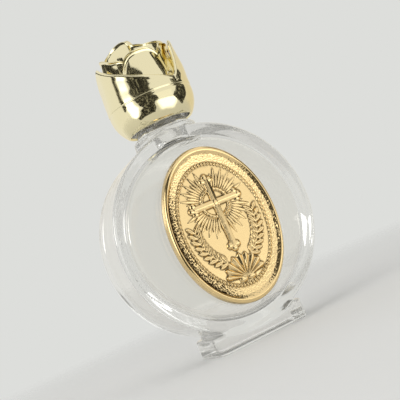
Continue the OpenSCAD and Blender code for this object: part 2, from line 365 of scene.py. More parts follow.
def grain(tree, shader, place, width, depth, strength, detail=2.0):
    """Roughens a surface with bumps of a width and depth in millimetres; returns their pattern."""
    noise = add(tree, "ShaderNodeTexNoise", {"Vector": place, "Scale": per(width), "Detail": detail})
    pattern = noise.outputs["Fac"]
    bump = add(tree, "ShaderNodeBump", {"Height": pattern, "Strength": strength, "Distance": depth * MM})
    feed(shader, "Normal", bump.outputs["Normal"])
    return pattern


def moulded_glass(sizes):
    """Soda-lime glass, moulded and fire-polished: clear and sharp, with slow ripples left by the mould."""
    material, tree, shader, place = new_finish(
        "Moulded soda-lime glass",
        base_color=rgba(sizes.tint),
        transmission_weight=1.0,
        ior=1.52,
        roughness=0.0,
    )
    grain(tree, shader, place, 9, 0.3, 0.05, 1.0)
    return material


def plated_gold(sizes):
    """Pale gold plating on moulded ABS: a mirror with a faint orange peel and slow hollows under it."""
    material, tree, shader, place = new_finish(
        "Pale gold plating on ABS", base_color=rgba(sizes.gold), metallic=1.0
    )
    cloud = add(tree, "ShaderNodeTexNoise", {"Vector": place, "Scale": per(4), "Detail": 3.0})
    haze = add(tree, "ShaderNodeMapRange", {"Value": cloud.outputs["Fac"], "To Min": 0.04, "To Max": 0.12})
    feed(shader, "Roughness", haze.outputs["Result"])
    grain(tree, shader, place, 1.6, 0.1, 0.1)
    return material


def antique_gold(sizes):
    """Cast zinc plated with warm gold, darkened and wiped: bright on high places, brown-black in low ones,
    with painted shade on the stippled band's lower left.
    """
    material, tree, shader, place = new_finish("Antiqued gold plate on cast zinc", metallic=1.0)
    # The recess attribute holds patina in the hollows plus painted shade on the stippled band's lower left
    recess_and_shade = add(tree, "ShaderNodeAttribute", attribute_name="recess_and_shade", attribute_type="GEOMETRY")
    cloud = add(tree, "ShaderNodeTexNoise", {"Vector": place, "Scale": per(1.2), "Detail": 3.0})
    patchy = add(tree, "ShaderNodeMath", {0: cloud.outputs["Fac"], 1: 0.5, 2: -0.3}, operation="MULTIPLY_ADD")
    low = {0: recess_and_shade.outputs["Fac"], 1: patchy.outputs["Value"]}
    # How much patina colour shows: real patina, painted shade and random patches together
    worn = add(tree, "ShaderNodeMath", low, operation="ADD", use_clamp=True).outputs["Value"]
    tones = {"Factor": worn, MIX_A: rgba(sizes.gold), MIX_B: rgba(sizes.patina_and_shade)}
    feed(shader, "Base Color", add(tree, "ShaderNodeMix", tones, data_type="RGBA").outputs[MIXED])
    dull = add(tree, "ShaderNodeMapRange", {"Value": worn, "To Min": 0.13, "To Max": 0.5})
    feed(shader, "Roughness", dull.outputs["Result"])
    grain(tree, shader, place, 0.5, 0.06, 0.2)
    return material


def moulded_plastic(name, tone, width, depth, roughness):
    """A plain plastic with the grain that its making leaves: fine spark erosion, foam cells or film haze."""
    material, tree, shader, place = new_finish(name, roughness=roughness, ior=1.49)
    pattern = grain(tree, shader, place, width, depth, 0.4)
    tones = {"Factor": pattern, MIX_A: rgba([0.93 * c for c in tone]), MIX_B: rgba(tone)}
    feed(shader, "Base Color", add(tree, "ShaderNodeMix", tones, data_type="RGBA").outputs[MIXED])
    return material


# The glass bottle

GLASS_STEP = 0.36
THREAD_PITCH = 3.0
THREAD_DEPTH = 0.6
THREAD_TURNS = 1.25
THREAD_CLEAR = 0.2
# Half of a ridge's width at its root and at its crest
THREAD_ROOT, THREAD_CREST = 0.65, 0.3
# Direction square to a ridge's flank, along the axis and outward
FLANK_UP, FLANK_OUT = 0.863, 0.504
# Room from the top of the thread to the lip
THREAD_MARGIN = 0.9
# Height at which the neck's thread passes angle 0
MALE_Z = GLASS_HIGH[2] - THREAD_MARGIN - THREAD_ROOT - THREAD_PITCH * THREAD_TURNS
# Widths of the glass's rounded edges and of the fillets between its parts
FACE_EDGE, RIM_EDGE, FOOT_EDGE, LIP_EDGE, BEAD_EDGE, MOUTH_EDGE = 0.35, 0.9, 0.6, 0.8, 0.9, 0.8
FOOT_FILLET, BEAD_FILLET, NECK_FILLET, THREAD_FILLET, BORE_FILLET = 0.9, 0.8, 0.5, 0.3, 0.8
# Rounding of ends that lie inside another part
BURIED_EDGE = 0.5
FOOT_CORNER = 3.0
HOLLOW_ROUND = 1.5


def thread_ridge(points, wall_r, outward, z0, first):
    """Distance from a helical ridge on a round wall; outward is 1 on a neck and -1 in a cap."""
    x, y, z = np.moveaxis(points, -1, 0)
    stand = outward * (np.hypot(x, y) - wall_r)
    turn = np.arctan2(y, x) / (2 * math.pi)
    turned = turn + np.round((z - z0) / THREAD_PITCH - turn)
    held = np.clip(turned, first, first + THREAD_TURNS)
    lap = turn + np.round(held - turn)
    # Each end of the ridge sinks into the wall within a tenth of a turn
    ends = ease(np.minimum(lap - first, first + THREAD_TURNS - lap) / 0.1 + 0.2)
    crest = stand - THREAD_DEPTH * ends
    flank = (np.abs(z - z0 - THREAD_PITCH * lap) - THREAD_ROOT) * FLANK_UP + stand * FLANK_OUT
    return smooth_max(crest, flank, 0.2)


def bottle_distance(sizes):
    """Signed distance from the glass, in millimetres: the moulded outside less the blown hollow."""
    mm = in_mm(sizes)
    body_r, half = mm.body_d / 2, mm.body_depth / 2
    middle = mm.body_clear + body_r
    bead_top, lip = middle + body_r + mm.bead_h, GLASS_HIGH[2]
    bevel = np.array([mm.bevel_d, mm.bevel_w])
    bevel /= np.linalg.norm(bevel)
    hollow_r, hollow_half = body_r - mm.rim_wall, half - mm.face_wall

    def post(past_side, z, top, edge):
        past_top = smooth_max(past_side, z - top, edge)
        return smooth_max(past_top, middle - z, BURIED_EDGE)

    def outside(points):
        x, y, z = points[..., 0], np.abs(points[..., 1]), points[..., 2]
        round_r, neck_r = np.hypot(x, z - middle), np.hypot(x, y)
        slope = (round_r - body_r + mm.bevel_w) * bevel[0] + (y - half) * bevel[1]
        disc = smooth_max(smooth_max(y - half, slope, FACE_EDGE), round_r - body_r, RIM_EDGE)
        plan = rounded(np.abs(x) - mm.foot_w / 2, y - mm.foot_depth / 2, FOOT_CORNER)
        foot = smooth_max(plan, np.abs(z - mm.foot_h / 2) - mm.foot_h / 2, FOOT_EDGE)
        thread = thread_ridge(points, mm.neck_d / 2, 1, MALE_Z, 0)
        neck = smooth_min(post(neck_r - mm.neck_d / 2, z, lip, LIP_EDGE), thread, THREAD_FILLET)
        bead = post(neck_r - mm.bead_d / 2, z, bead_top, BEAD_EDGE)
        body = smooth_min(disc, foot, FOOT_FILLET)
        return smooth_min(smooth_min(body, bead, BEAD_FILLET), neck, NECK_FILLET)

    def hollow(points):
        x, y, z = np.moveaxis(points, -1, 0)
        # The blown inside isn't quite even, which bends what is seen through it
        uneven = 0.07 * np.sin(0.42 * x + 1.3) * np.sin(0.36 * z + 0.6)
        past_rim = np.hypot(x, z - middle) - hollow_r
        room = rounded(past_rim, np.abs(y) - hollow_half - uneven, HOLLOW_ROUND)
        bore = smooth_max(np.hypot(x, y) - mm.bore_d / 2, middle - z, BURIED_EDGE)
        return smooth_min(room, bore, BORE_FILLET)

    def glass(points):
        return smooth_max(outside(points), -hollow(points), MOUTH_EDGE)

    return glass


class BOTTLE_OT_glass_body(bpy.types.Operator):
    """Makes the glass bottle: round body, plinth foot, threaded neck and hollow"""

    bl_idname = "holy_bottle.glass_body"
    bl_label = "Glass Bottle"

    def execute(self, context):
        sizes = context.scene.bottle_glass
        surface = skin(bottle_distance(sizes), GLASS_LOW, GLASS_HIGH, GLASS_STEP)
        glass = moulded_glass(sizes)
        bottle = make_piece("glass_bottle_moulded", glass, "bottle", "clear_glass", "glass_bottle", *surface)
        # Clear glass lets lamp light through, so it throws no solid shadow
        bottle.visible_shadow = False
        return {"FINISHED"}


# The rose cap

ROSE_STEPS = 540
ROSE_H = ROSE_HIGH[2] - ROSE_LOW[2]
INSERT_R = (INSERT_HIGH[0] - INSERT_LOW[0]) / 2
INSERT_TOP = INSERT_HIGH[2] - ROSE_LOW[2]
# The rose's rim round the insert, and the hollow above it
RIM_R = INSERT_R + 0.4
CORE_R = INSERT_R - 2.4
CORE_TOP = INSERT_TOP + 4
# Step of the moulding line, and the angle at which the belly leaves the rim
LINE_STEP = 0.14
BELLY_ANGLE = math.radians(45)
# The mound that the petals stand on, and the bud on it: radii and heights, the bud's from its top
MOUND_R = (0, 2.4, 4.5, 6.5, 8.2, 9.2)
MOUND_H = (ROSE_H - 2.2, ROSE_H - 2.6, 18.0, 14.6, 11.2, 9.7)
BUD = ((2.0, -1.6), (1.6, -0.6), (1.2, 0.0), (0.9, -0.1), (0.7, -0.4), (0.4, -0.3))
BUD_DROP = 0.3
BUD_FOLD = 0.5
# Where the bud's spiral fold starts, as a share of a turn
BUD_START = 0.38


class OuterPetal(NamedTuple):
    """One of the three petals that wrap the rose; lengths in millimetres below the rose's top."""

    start: float  # angle in degrees
    peak: float
    far: float  # its far end
    flare: float  # how far it leans out


OUTER_PETALS = (
    OuterPetal(145, 4.8, 14.2, -0.5),
    OuterPetal(294, 4.6, 10.2, 0.6),
    OuterPetal(412, 5.2, 10.6, 0.0),
)
# Angle over which an outer petal rises to its peak, how its lip then falls, and its step over its neighbour
OUTER_RISE = 34
OUTER_FALL = 1.4
OUTER_STEP = 0.3


class Petal(NamedTuple):
    """One petal that stands inside the outer three; angles in degrees, lengths in millimetres."""

    middle: float  # angle of the middle of its foot
    half: float  # half of its width, as an angle
    drop: float  # how far the middle of its lip lies below the rose's top
    foot_r: float
    lip_r: float
    left_fall: float = 0.0  # how much lower the lip ends on the left, seen from outside
    right_fall: float = 0.0
    tuck: float = 0.4  # how far its sides turn in
    wind: float = 0.0  # how far it winds outward from left to right
    lean: float = 0.0  # angle that its tip leans to the right
    square: float = 3.0  # 2 for a round outline, more for a squarer one
    bulge: float = 0.55


INNER_PETALS = (
    Petal(249, 40, 5.6, 9.0, 7.5, tuck=0.0, lean=18, bulge=0.05),
    Petal(249, 44.5, 5.0, 8.4, 6.9, tuck=0.0, lean=18, bulge=0.05),
    Petal(188, 44, 3.6, 7.8, 6.6, -1.4, 2.0, tuck=-0.1, wind=-0.4, square=9, bulge=0.1),
    Petal(197, 60, 2.4, 7.2, 5.1, 0.6, -1.2, tuck=0.0, wind=-0.9, square=9, bulge=0.2),
    Petal(290, 60, 3.75, 6.0, 5.5, -1.5, -0.2, tuck=0.0, wind=3.0, square=9, bulge=0.2),
    Petal(322, 25, 5.2, 7.9, 8.8, tuck=0.0, square=8, bulge=0.0),
    Petal(30, 44, 4.4, 8.6, 7.7, tuck=0.5),
    Petal(106, 48, 3.4, 8.6, 7.5, tuck=0.5),
    Petal(40, 70, 2.2, 5.2, 4.2, tuck=0.3, square=3.4),
    Petal(130, 64, 1.6, 5.0, 3.9, tuck=0.3, square=3.4),
)
PETAL_STEPS, PETAL_ROWS = 81, 61
# Thickness of an inner petal as a share of an outer one's lip, and of its side edges in millimetres
INNER_SHARE = 0.75
SIDE_T = 0.004
# How quickly a petal thins towards its side edges
SIDE_TAPER = 14
# How deep a petal's foot is sunk in the mound, and how far its sides reach below that
PETAL_SUNK = 1.2
SIDE_SUNK = 0.4
# How far a petal's rim rolls out, and over what width
RIM_ROLL = 0.5
RIM_ROLL_W = 0.45


def mound_h(r):
    """Height of the mound that the petals stand on."""
    return float(np.interp(r, MOUND_R, MOUND_H))


def outer_lip(angles):
    """Height of the outer petals' lip, and how far each petal stands out over its neighbour."""
    starts = [petal.start for petal in OUTER_PETALS] + [OUTER_PETALS[0].start + 360]
    a = starts[0] + (angles - starts[0]) % 360
    lip, stand = np.zeros_like(a), np.zeros_like(a)
    for k, petal in enumerate(OUTER_PETALS):
        before = OUTER_PETALS[k - 1].far
        into, wide = a - petal.start, starts[k + 1] - petal.start
        risen = ease(into / OUTER_RISE)
        fall = np.clip((into - OUTER_RISE) / (wide - OUTER_RISE), 0, 1)
        rise = before + (petal.peak - before) * risen
        sunk_to = petal.far + (petal.peak - petal.far) * (1 - fall) ** OUTER_FALL
        drop = np.where(into < OUTER_RISE, rise, sunk_to)
        own = (into >= 0) & (into < wide)
        lip = np.where(own, ROSE_H - drop, lip)
        across = into / wide
        out = OUTER_STEP * np.minimum(1, across * 12) + petal.flare * risen
        stand = np.where(own, out * (1 - across), stand)
    return lip, stand


def petal_sheet(petal, thick):
    """Points and faces of one closed petal: a bulging sheet with a domed outline and a rolled rim."""
    across = np.sin(np.linspace(-90, 90, PETAL_STEPS) * math.pi / 180)[:, None]
    # Rows lie closer together towards the lip
    up = 1 - (1 - np.linspace(0, 1, PETAL_ROWS)[None, :]) ** 1.7
    foot = mound_h(petal.foot_r) - PETAL_SUNK
    stem = ROSE_H - petal.drop - foot
    fall = np.where(across < 0, petal.left_fall, petal.right_fall) * (1 - (1 - np.abs(across)) ** 2)
    tall = (stem - fall) * (1 - np.abs(across) ** petal.square) ** (1 / petal.square) + SIDE_SUNK
    height = foot + up * tall - SIDE_SUNK
    from_lip = (1 - up) * tall
    r = petal.foot_r + (petal.lip_r - petal.foot_r) * up**1.6
    r = r + petal.bulge * np.sin(math.pi * up) * tall / stem - petal.tuck * across**2 + petal.wind * across
    r = r + RIM_ROLL * np.exp(-((from_lip / RIM_ROLL_W) ** 2))
    turn = np.radians(petal.middle + petal.half * across + petal.lean * up)
    # A lip that is half round: the sheet thins to nothing over its last part
    last = np.clip(from_lip / (thick / 2), 0, 1)
    half_t = thick / 2 * np.sqrt(last * (2 - last))
    half_t = half_t * np.sqrt(np.clip((1 - np.abs(across)) * SIDE_TAPER, 0, 1)) + SIDE_T
    # Each row goes along the outside and back along the inside
    r = np.concatenate([r + half_t, (r - half_t)[::-1]])
    turn, height = (np.concatenate([a, a[::-1]]) for a in (turn, height))
    points = np.stack([r * np.cos(turn), r * np.sin(turn), height], -1).swapaxes(0, 1).reshape(-1, 3)
    steps = 2 * PETAL_STEPS
    faces = tube_faces(PETAL_ROWS, steps)
    top = (PETAL_ROWS - 1) * steps
    for i in range(PETAL_STEPS - 1):
        back = steps - 1 - i
        faces.append((top + i, top + i + 1, top + back - 1, top + back))
        faces.append((i + 1, i, back, back - 1))
    return points, faces


def rose_cuts(sizes, angles):
    """Upright cuts through the rose at some angles, from core to bud: an array of [radius, height]."""
    mm = in_mm(sizes)
    rose_r, line_h, petal_t = mm.rose_d / 2, mm.line_h, mm.petal_t
    cut = []

    def point(r, h):
        cut.append(np.stack([np.broadcast_to(r, angles.shape), np.broadcast_to(h, angles.shape)], -1))

    def wall_r(h):
        return rose_r - mm.rose_lean * np.maximum(0, h - mm.belly_h) / (ROSE_H - mm.belly_h)

    # The plain inside, from the middle of the core's ceiling out to the rim
    core = ((0.5, CORE_TOP), (CORE_R, CORE_TOP), (CORE_R, INSERT_TOP))
    for r, h in (*core, (INSERT_R, INSERT_TOP), (INSERT_R, 0.1)):
        point(r, h)
    for t in np.linspace(0, 1, 5):
        point(INSERT_R + 0.1 + (RIM_R - INSERT_R - 0.25) * t, 0.0)
    for t in np.linspace(1, 0, 20):
        turn = BELLY_ANGLE * t
        out = (math.cos(turn) - math.cos(BELLY_ANGLE)) / (1 - math.cos(BELLY_ANGLE))
        rise = mm.belly_h * (1 - math.sin(turn) / math.sin(BELLY_ANGLE))
        point(RIM_R + (rose_r - RIM_R) * out, max(0.06, rise))
    # The moulding line: a fine overhang above the belly
    point(wall_r(line_h - 0.3), line_h - 0.3)
    for out, rise in ((-0.03, -0.12), (0.7 * LINE_STEP, -0.05), (LINE_STEP, 0.12)):
        point(wall_r(line_h) + out, line_h + rise)
    # The outer petals, rolled outward along their lips
    lip, stand = outer_lip(angles)
    edge_r = wall_r(lip - 1.2 * petal_t) + LINE_STEP + stand
    for t in np.linspace(0.12, 0.9, 16):
        h = line_h + t * (lip - 1.25 * petal_t - line_h)
        point(wall_r(h) + LINE_STEP + stand * ease(t * 2), h)
    for degrees in np.linspace(0, 180, 13):
        turn = math.radians(degrees)
        roll = 0.04 * math.sin(2 * min(turn, math.pi / 2)) + 0.03
        hang = 0.7 * petal_t * max(0, 1 - degrees / 90)
        h = lip - petal_t / 2 * (1 - math.sin(turn)) - hang
        point(edge_r + roll - petal_t / 2 * (1 - math.cos(turn)), h)
    floor = np.minimum(lip - petal_t / 2, np.maximum(INSERT_TOP + 0.9, lip - 4.0))
    floor_r = edge_r - 1.6 * petal_t
    point(floor_r + 0.2, (lip + floor) / 2)
    point(floor_r, floor)
    # The mound inside, which rises to the bud
    for r in (8.4, 7.6, 6.6, 5.6, 4.6, 3.6, 2.8):
        point(np.minimum(r, floor_r - 0.2), np.maximum(mound_h(r), floor))
    # The bud, closed by one spiral fold
    swirl = (angles / 360 - BUD_START) % 1
    for r, h in BUD:
        point(r, ROSE_H - BUD_DROP + h + BUD_FOLD * (swirl - 0.5) * min(1, r / 1.5))
    return np.stack(cut, 0)


class BOTTLE_OT_rose_cap(bpy.types.Operator):
    """Makes the rose cap from upright cuts round its axis and a sheet for each inner petal"""

    bl_idname = "holy_bottle.rose_cap"
    bl_label = "Rose Cap"

    def execute(self, context):
        sizes = context.scene.bottle_cap
        angles = np.arange(ROSE_STEPS) * 360 / ROSE_STEPS
        cuts = rose_cuts(sizes, angles)
        turn = np.radians(angles)
        r, h = cuts[..., 0], cuts[..., 1]
        points = np.stack([r * np.cos(turn), r * np.sin(turn), h], -1)
        poles = [[0, 0, CORE_TOP], [0, 0, h[-1].mean()]]
        flat = np.concatenate([points.reshape(-1, 3), poles])
        faces = turned_skin(*h.shape)
        for petal in INNER_PETALS:
            petal_points, petal_faces = petal_sheet(petal, sizes.petal_t / MM * INNER_SHARE)
            faces += [tuple(k + len(flat) for k in face) for face in petal_faces]
            flat = np.concatenate([flat, petal_points])
        flat += [0, 0, ROSE_LOW[2]]
        make_piece("rose_cap_plated", plated_gold(sizes), "cap", "pale_gold_plate", "rose_cap", flat, faces)
        return {"FINISHED"}


# What the cap holds

FEMALE_Z = MALE_Z - THREAD_ROOT - THREAD_CREST - THREAD_CLEAR
# Turns after angle 0 where the insert's thread starts
FEMALE_FIRST = (INSERT_LOW[2] + THREAD_ROOT + THREAD_CLEAR - FEMALE_Z) / THREAD_PITCH
INSERT_WALL = 0.65
INSERT_STEP = 0.25
# Widths of the rounded edges and of the insert's fillets, and how far its thread's root stays inside its wall
SOFT_EDGE, INSERT_FILLET, ROOT_INSIDE = 0.3, 0.15, 0.2
# Room between pieces that touch, so that their faces don't fight
TOUCH_GAP = 0.02
# The ring that the bottle's lip has pressed into the liner: radius, width and depth
PRESSED_R, PRESSED_W, PRESSED_DEPTH = 5.4, 0.9, 0.12


def insert_distance(points):
    """Signed distance from the screw insert: a cup with a female thread."""
    r, z = about_axis(points)
    middle, half = (INSERT_LOW[2] + INSERT_HIGH[2]) / 2, (INSERT_HIGH[2] - INSERT_LOW[2]) / 2
    bore_r = INSERT_R - INSERT_WALL
    cup = smooth_max(r - INSERT_R + TOUCH_GAP, np.abs(z - middle) - half, SOFT_EDGE)
    bore = np.maximum(r - bore_r, z - LINER_HIGH[2] - TOUCH_GAP)
    ridge = thread_ridge(points, bore_r, -1, FEMALE_Z, FEMALE_FIRST)
    ridge = np.maximum(ridge, r - INSERT_R + ROOT_INSIDE)
    return smooth_min(smooth_max(cup, -bore, INSERT_FILLET), ridge, INSERT_FILLET)


def liner_distance(points):
    """Signed distance from the liner: a thin soft disc, dished a little where the lip has pressed it."""
    r, z = about_axis(points)
    liner_r = (LINER_HIGH[0] - LINER_LOW[0]) / 2
    pressed = PRESSED_DEPTH * np.exp(-(((r - PRESSED_R) / PRESSED_W) ** 2))
    disc = smooth_max(r - liner_r, z - LINER_HIGH[2], SOFT_EDGE)
    return smooth_max(disc, LINER_LOW[2] + pressed - z, SOFT_EDGE)


class BOTTLE_OT_cap_inside(bpy.types.Operator):
    """Makes the screw insert and the sealing liner inside the cap"""

    bl_idname = "holy_bottle.cap_inside"
    bl_label = "Insert and Liner"

    def execute(self, context):
        sizes = context.scene.bottle_cap
        plastic = moulded_plastic("Moulded polypropylene", sizes.plastic, 0.3, 0.02, 0.4)
        surface = skin(insert_distance, INSERT_LOW, INSERT_HIGH, INSERT_STEP)
        make_piece("cap_insert_moulded", plastic, "cap", "insert_plastic", "cap_insert", *surface)
        foam = moulded_plastic("Expanded polyethylene foam", sizes.foam, 0.25, 0.06, 0.75)
        surface = skin(liner_distance, LINER_LOW, LINER_HIGH, INSERT_STEP)
        make_piece("sealing_liner_foam", foam, "seal", "liner_foam", "sealing_liner", *surface)
        return {"FINISHED"}


# The plaque

PLAQUE_STEPS = 600
PLAQUE_Z = (PLAQUE_LOW[2] + PLAQUE_HIGH[2]) / 2
PLAQUE_BACK_Y = PLAQUE_HIGH[1]
# Where the cross's centre and the shell's hinge lie, and how far the sprays reach, as shares of the plaque
CROSS_AT, HINGE_AT = 0.14, -0.345
SPRAY_W, SPRAY_H = 0.285, 0.245
# The cross: length of its crossbar and its upright, and half of a bar's width
CROSS_SPAN, CROSS_UPRIGHT, CROSS_HALF = 11.0, 16.0, 0.9
RING_R, RING_HALF = 3.3, 0.46
# The rays of the glory: radius where they start, and their lengths in turn
RAY_START, RAY_LENGTHS = 3.7, (4.9, 3.4)
SHELL_R = 5.6
# Nine ribs across the 2.9 radians of its fan
SHELL_RIBS = 2 * math.pi * 9 / 2.9
# Degrees from the shell's middle to its last rib
SHELL_SPREAD = 84
# The band inside the rim: spacing of its punched dimples, and the beads that end it
STIPPLE_SPACING = 0.37
STIPPLE_SEED = 7
BEADS = 84


def round_bar(distance, half, height):
    """Height of a half-round bar at a distance from its middle line."""
    return height * np.sqrt(np.maximum(0, 1 - (distance / half) ** 2))


def segment(x, y, a, b):
    """Distance from a line between two points."""
    dx, dy = b[0] - a[0], b[1] - a[1]
    along = np.clip(((x - a[0]) * dx + (y - a[1]) * dy) / (dx * dx + dy * dy), 0, 1)
    return np.hypot(x - a[0] - along * dx, y - a[1] - along * dy)


def leaf(x, y, at, heading, long, wide, height):
    """Height of a pointed leaf with a sunk midrib."""
    c, s = math.cos(math.radians(heading)), math.sin(math.radians(heading))
    along = (x - at[0]) * c + (y - at[1]) * s
    across = np.abs((y - at[1]) * c - (x - at[0]) * s)
    t = np.clip(along / long, 0, 1)
    half = np.maximum(wide / 2 * 4 * t * (1 - t), 1e-4)
    on = (along > 0) & (along < long) & (across < half)
    body = height * np.sqrt(np.maximum(0, 1 - (across / half) ** 2)) ** 0.7
    rib = 0.45 * height * np.exp(-((across / 0.09) ** 2))
    return np.where(on, np.maximum(body - rib, 0.1 * height), 0)


def glory(x, y, full):
    """Height of long and short rays between the arms of the cross; y from its centre."""
    design = np.zeros_like(x)
    for quarter in range(4):
        for k, a in enumerate(np.arange(14, 77, 6.9)):
            turn = math.radians(90 * quarter + a)
            start = (RAY_START * math.cos(turn), RAY_START * math.sin(turn))
            ray = leaf(x, y, start, math.degrees(turn), RAY_LENGTHS[k % 2], 0.62, 0.5 * full)
            design = np.maximum(design, ray)
    return design


def ringed_cross(x, y, full):
    """Height of a ridged cross with trefoil ends and a boss, in a ring of cord; y from its centre."""
    far, bearing = np.hypot(x, y), np.arctan2(y, x)
    twist = 0.12 * full * np.sin(bearing * 26 + 5 * (far - RING_R))
    ring = round_bar(far - RING_R, RING_HALF, 0.72 * full) + twist
    design = np.where(np.abs(far - RING_R) < RING_HALF, ring, 0)
    side, top = CROSS_SPAN / 2, CROSS_SPAN / 2
    ends = [(-side, 0), (side, 0), (0, top), (0, top - CROSS_UPRIGHT)]
    for a, b in (ends[:2], ends[2:]):
        off = segment(x, y, a, b)
        bar = np.where(off < CROSS_HALF, full * (0.72 + 0.5 * (1 - off / CROSS_HALF)), 0)
        design = np.maximum(design, bar * ease((CROSS_HALF - off) / 0.16))
    for end in ends:
        out = np.array(end) / np.linalg.norm(end)
        beside = np.array([-out[1], out[0]])
        for lobe in (end + out * 0.75, end + beside * 0.95, end - beside * 0.95):
            design = np.maximum(design, round_bar(np.hypot(x - lobe[0], y - lobe[1]), 0.85, 1.05 * full))
    groove = 0.25 * full * np.exp(-(((far - 0.75) / 0.14) ** 2))
    return np.maximum(design, round_bar(far, 1.3, 1.35 * full) - groove)


def scallop(x, y, full):
    """Height of a shell whose ribs fan up from its hinge, with an ear on each side; y from its hinge."""
    far, turn = np.hypot(x, y), np.arctan2(x, y)
    rib, bearing = np.cos(turn * SHELL_RIBS), np.degrees(turn)
    edge = SHELL_R * (1 - 0.1 * (bearing / 80) ** 2) + 0.28 * rib
    dome = 0.7 + 0.5 * np.sin(np.clip(far / SHELL_R, 0, 1) * math.pi * 0.8)
    shell = full * (0.35 + 0.55 * (0.5 + 0.5 * rib)) * dome
    design = shell * ease((edge - far) / 0.35) * ease((SHELL_SPREAD - np.abs(bearing)) / 6)
    ear = np.hypot((np.abs(x) - 1.1) * 0.8, (y + 0.15) * 1.2)
    return np.maximum(design, round_bar(ear, 0.85, 0.9 * full))


def ripples(x, y, full):
    """Height of three ripples of water under the shell; y from its hinge."""
    design = np.zeros_like(x)
    for k in range(3):
        wave = -1.15 - 0.62 * k + 0.16 * np.sin(x * 2.4 + k * 1.7)
        room = ease(6.2 - 1.4 * k - np.abs(x))
        design = np.maximum(design, round_bar(y - wave, 0.24, 0.42 * full) * room)
    return design


def spray(x, y, full, wide, tall):
    """Height of a leafy spray with berries that climbs an arc of a half width and a half height."""
    design = np.zeros_like(x)
    last = None
    for k, b in enumerate(np.radians(np.arange(-66, 5, 8.6))):
        c, s = math.cos(b), math.sin(b)
        here = (wide * c, tall * s)
        heading = math.degrees(math.atan2(tall * c, -wide * s))
        if last:
            design = np.maximum(design, round_bar(segment(x, y, last, here), 0.2, 0.5 * full))
        for tilt in (-44, 44):
            design = np.maximum(design, leaf(x, y, here, heading + tilt, 2.5, 1.05, 0.85 * full))
        if k % 2:
            berry = np.hypot(x - here[0] * 1.13, y - here[1] * 1.08)
            design = np.maximum(design, round_bar(berry, 0.36, 0.7 * full))
        last = here
    return design


def relief(x, y, sizes):
    """Height of the design over the field: a radiant cross above a scallop shell between leafy sprays."""
    mm = in_mm(sizes)
    full = mm.relief_h
    from_cross, from_hinge = y - CROSS_AT * mm.height, y - HINGE_AT * mm.height
    motifs = (
        glory(x, from_cross, full),
        ringed_cross(x, from_cross, full),
        scallop(x, from_hinge, full),
        ripples(x, from_hinge, full),
        spray(np.abs(x), y, full, SPRAY_W * mm.width, SPRAY_H * mm.height),
    )
    return np.maximum.reduce(motifs)


def stipple(x, y, spacing, seed):
    """Punched dimples, 1 in the middle of each and 0 between them, one about every spacing."""
    repeat = 128
    jitter = np.random.default_rng(seed).random((repeat, repeat, 3))
    col, row = np.floor(x / spacing).astype(int), np.floor(y / spacing).astype(int)
    deepest = np.zeros_like(x)
    for dc in (-1, 0, 1):
        for dr in (-1, 0, 1):
            j = jitter[(col + dc) % repeat, (row + dr) % repeat]
            d = np.hypot((col + dc + j[..., 0]) * spacing - x, (row + dr + j[..., 1]) * spacing - y)
            reach = spacing * (0.42 + 0.25 * j[..., 2])
            deepest = np.maximum(deepest, ease(1 - d / reach))
    return deepest


def plaque_face(sizes, x, y, ring):
    """Height of the plaque's front and its patina with painted shade; ring is the distance from the middle, 1
    on the outline.
    """
    mm = in_mm(sizes)
    half_w, half_h = mm.width / 2, mm.height / 2
    inward, cove_end = (1 - ring) * half_h, mm.rim_w + mm.cove_w
    crown = 0.85 * mm.rim_w
    outer = np.minimum(inward - crown, 0) / crown
    roll = mm.rim_t - 0.9 * (1 - np.sqrt(np.maximum(0, 1 - outer**2)))
    # Struck hardest at the lower left; the same weight darkens the band there, painted shade on the side
    # turned away from the light
    struck_and_shaded_side = 0.15 + 0.85 * ease((-0.95 * x - 0.18 * y - 4.5) / 5)
    # Inside the rim the face drops by half at once, and the rest of the way across the band
    step = ease((inward - crown) / (1.3 - 0.5 * struck_and_shaded_side))
    slope = np.clip((inward - crown) / (cove_end - crown), 0, 1)
    cove = mm.rim_t - (mm.rim_t - mm.field_t) * (step + slope) / 2
    band = ease((inward - mm.rim_w) / 0.5) * ease((cove_end - 0.2 - inward) / 0.3)
    dimples = stipple(x, y, STIPPLE_SPACING, STIPPLE_SEED)
    height = np.where(inward < crown, roll, cove) - (0.08 + 0.06 * struck_and_shaded_side) * band * dimples
    # A row of beads where the band meets the field
    bead_ring = 1 - (cove_end + 0.15) / half_h
    bearing = np.degrees(np.arctan2(y / half_h, x / half_w))
    along = (bearing * BEADS / 360 + 0.5) % 1 - 0.5
    apart = np.hypot(x, y) * 2 * math.pi / BEADS
    bead = round_bar(np.hypot((ring - bead_ring) * half_h * 0.95, along * apart), 0.48, 0.42)
    height = np.maximum(height, mm.field_t + bead)
    on_field = ease((inward - cove_end - 0.5) / 0.4)
    # Patina in the dimples, plus painted shade that darkens the band towards the lower left
    patina_and_shade = np.clip((dimples + struck_and_shaded_side * (1.35 - 0.6 * slope) - 1) / 0.25, 0, 1)
    return height + relief(x, y, sizes) * on_field, band * patina_and_shade


def sunk(height, ring):
    """How far each point of the plaque's face lies below its surroundings, as a share of full patina."""
    around = height
    for _ in range(14):
        beside = np.roll(around, 1, 1) + np.roll(around, -1, 1)
        up = np.concatenate([around[:1], around[:-1]])
        down = np.concatenate([around[1:], around[-1:]])
        around = (2 * around + beside + up + down) / 6
    return np.clip((around - height - 0.012) / 0.13, 0, 1) * 0.85 * ease((0.94 - ring) / 0.04)


